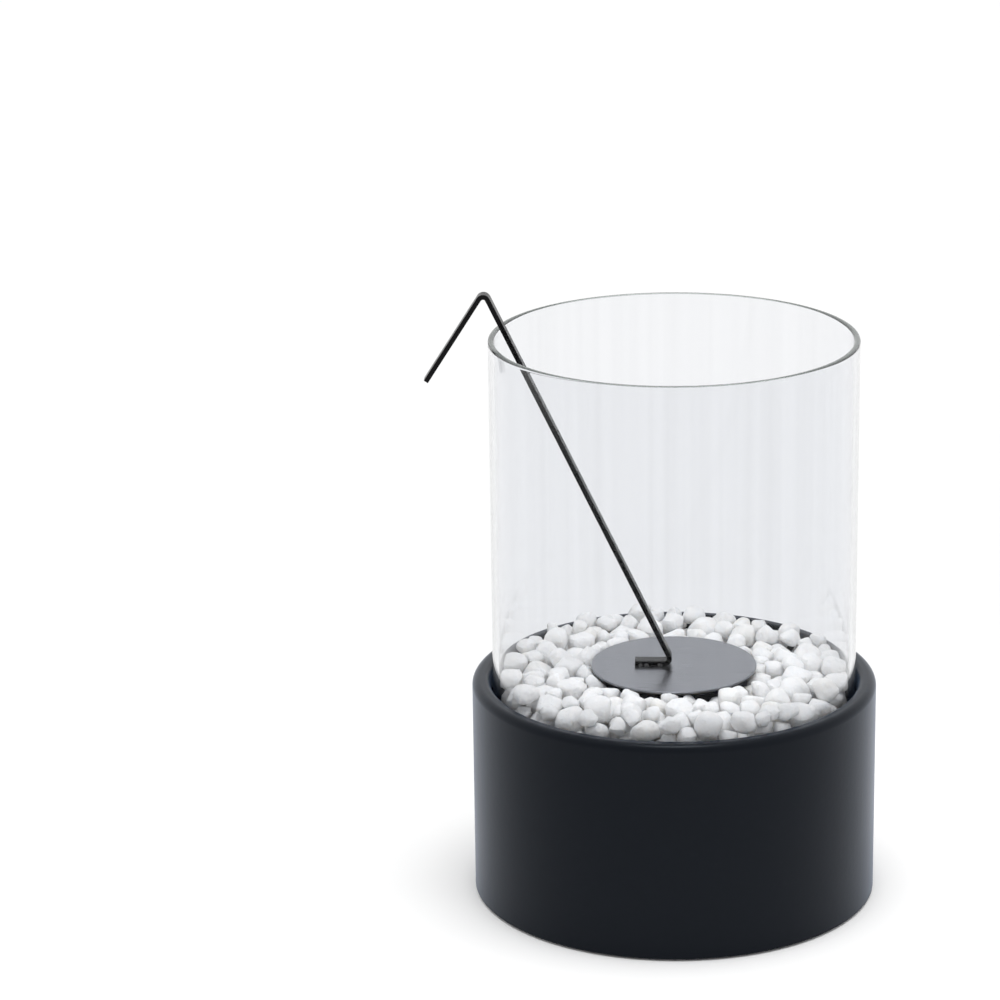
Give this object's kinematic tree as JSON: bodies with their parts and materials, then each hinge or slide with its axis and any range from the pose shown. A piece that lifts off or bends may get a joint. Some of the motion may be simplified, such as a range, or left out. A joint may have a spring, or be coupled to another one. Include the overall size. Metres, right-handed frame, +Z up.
{
  "type": "tabletop fireplace",
  "caption": "Round steel tabletop fireplace with a clear glass tube, a fuel burner in a bed of white marble pebbles, and a flat snuffer lid on a bent strip handle.",
  "frame": {"origin": "on the table, under the middle of the base", "axes": "+Z up; the snuffer's handle leans towards -X; -Y is the side that faces the viewer in the picture"},
  "size_m": [0.1846, 0.167, 0.2546],
  "materials": {
    "black_coat": "satin black powder coat",
    "foam_pad": "matt closed-cell foam",
    "burner_steel": "bare drawn steel",
    "clear_glass": "clear, fire-polished edges",
    "lid_steel": "satin grey, finely brushed",
    "handle_coat": "satin black",
    "marble": "tumbled white marble"
  },
  "bodies": {
    "base": {"base_shell": "black_coat", "base_floor": "black_coat", "anti_slip_pad": "foam_pad", "tray_bracket_1": "black_coat", "tray_bracket_2": "black_coat", "tray_bracket_3": "black_coat", "pebble_tray": "black_coat", "burner_sleeve": "black_coat", "pebbles_back_right": "marble", "pebbles_back": "marble", "pebbles_back_left": "marble", "pebbles_front_left": "marble", "pebbles_front": "marble", "pebbles_front_right": "marble"},
    "burner": {"burner_can": "burner_steel", "fuel_cup": "burner_steel"},
    "glass": {"glass_cylinder": "clear_glass"},
    "snuffer": {"snuffer_lid": "lid_steel", "snuffer_handle": "handle_coat", "handle_welds": "handle_coat"}
  },
  "joints": [
    {"name": "burner_lift", "type": "slide", "parent": "base", "child": "burner", "axis": [0, 0, 1], "range_m": [0, 0.08]},
    {"name": "glass_lift", "type": "slide", "parent": "burner", "child": "glass", "axis": [0, 0, 1], "range_m": [0, 0.03]},
    {"name": "snuffer_lift", "type": "slide", "parent": "glass", "child": "snuffer", "axis": [0, 0, 1], "range_m": [0, 0.15]}
  ]
}
